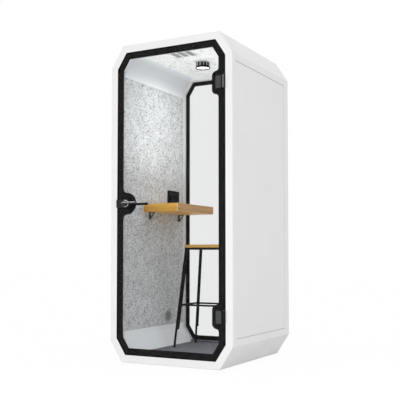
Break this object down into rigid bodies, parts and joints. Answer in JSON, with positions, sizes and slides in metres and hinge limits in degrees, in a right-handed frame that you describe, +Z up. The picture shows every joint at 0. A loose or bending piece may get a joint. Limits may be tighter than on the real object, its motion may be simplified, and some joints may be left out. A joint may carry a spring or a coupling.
{
  "type": "acoustic office pod",
  "caption": "Chamfered acoustic cabin with a hinged glass door, lever latch, rear window, felt walls, wall desk, stool, ceiling lamp and extractor fan.",
  "frame": {"origin": "on the floor, midway between the two sides and between the two glazed faces", "axes": "+X towards the hinge side, +Y from the door to the rear window, +Z up"},
  "size_m": [0.99, 1.085, 2.3],
  "materials": {
    "shell_white": "satin white paint",
    "lining_white": "matt white sheet",
    "ceiling_white": "faintly mottled white board",
    "acoustic_core": "dense wool board",
    "felt_grey": "mottled grey needle felt",
    "carpet_grey": "short grey pile",
    "deck_board": "plain board",
    "clear_glass": "clear safety glass",
    "border_black": "fired black print behind the glass",
    "seal_rubber": "black sealing strip",
    "hinge_grey": "satin dark grey",
    "bare_steel": "ground steel",
    "lock_grey": "satin charcoal",
    "rose_chrome": "bright plated",
    "lever_black": "semi-gloss black",
    "golden_wood": "oiled golden wood",
    "black_metal": "powder-coated black",
    "black_plastic": "fine-textured black",
    "grey_plastic": "matt grey",
    "opal_diffuser": "opal white"
  },
  "bodies": {
    "cabin": {"front_frame": "shell_white", "rear_frame": "shell_white", "roof_shell": "shell_white", "base_shell": "shell_white", "left_side_panel": "shell_white", "right_side_panel": "shell_white", "left_cove": "lining_white", "right_cove": "lining_white", "left_skirt": "lining_white", "right_skirt": "lining_white", "ceiling_panel": "ceiling_white", "left_wall_core": "acoustic_core", "right_wall_core": "acoustic_core", "roof_core": "acoustic_core", "left_felt_panel": "felt_grey", "right_felt_panel": "felt_grey", "floor_carpet": "carpet_grey", "floor_deck": "deck_board", "rear_glass": "clear_glass", "rear_border": "border_black", "door_seal": "seal_rubber", "rear_seal": "seal_rubber", "upper_hinge_leaf": "hinge_grey", "lower_hinge_leaf": "hinge_grey", "upper_hinge_pin": "bare_steel", "lower_hinge_pin": "bare_steel", "strike_plate": "bare_steel", "desk_top": "golden_wood", "front_desk_bracket": "black_metal", "rear_desk_bracket": "black_metal", "lamp_body": "black_metal", "socket_panel": "black_plastic", "fan_housing": "black_plastic", "socket_box": "grey_plastic", "inlet_grille": "grey_plastic", "inlet_outer_grille": "grey_plastic", "lamp_diffuser": "opal_diffuser"},
    "door": {"door_glass": "clear_glass", "door_border": "border_black", "upper_hinge_clamp": "hinge_grey", "lower_hinge_clamp": "hinge_grey", "upper_hinge_back_plate": "hinge_grey", "lower_hinge_back_plate": "hinge_grey", "outer_lock_case": "lock_grey", "inner_lock_case": "lock_grey", "outer_rose": "rose_chrome", "inner_rose": "rose_chrome"},
    "levers": {"outer_lever": "lever_black", "inner_lever": "lever_black", "lever_spindle": "bare_steel"},
    "latch": {"latch_bolt": "bare_steel"},
    "fan": {"fan_rotor": "black_plastic"},
    "switch": {"rocker_switch": "black_plastic"},
    "stool": {"stool_seat": "golden_wood", "stool_seat_frame": "black_metal", "stool_footrest": "black_metal", "stool_leg_front_left": "black_metal", "stool_leg_front_right": "black_metal", "stool_leg_rear_left": "black_metal", "stool_leg_rear_right": "black_metal"}
  },
  "joints": [
    {"name": "door_swing", "type": "hinge", "parent": "cabin", "child": "door", "pos_m": [0.429, -0.508, 0], "axis": [0, 0, 1], "range_deg": [0, 100]},
    {"name": "lever_turn", "type": "hinge", "parent": "door", "child": "levers", "pos_m": [-0.351, -0.5, 1.141], "axis": [0, 1, 0], "range_deg": [0, 45], "stiffness_Nm_per_rad": 1, "springref_deg": -22.92},
    {"name": "latch_draw", "type": "slide", "parent": "door", "child": "latch", "axis": [1, 0, 0], "range_m": [0, 0.012]},
    {"name": "fan_spin", "type": "hinge", "parent": "cabin", "child": "fan", "pos_m": [-0.027, -0.253, 2.27], "axis": [0, 0, 1], "continuous": true},
    {"name": "switch_rock", "type": "hinge", "parent": "cabin", "child": "switch", "pos_m": [-0.4017, 0.29, 1.236], "axis": [0, 1, 0], "range_deg": [0, 12]},
    {"name": "stool_slide", "type": "slide", "parent": "cabin", "child": "stool", "axis": [1, 0, 0], "range_m": [0, 0.12]}
  ],
  "couplings": [
    {"joint": "latch_draw", "follows": "lever_turn", "m_per_rad": 0.01527}
  ]
}
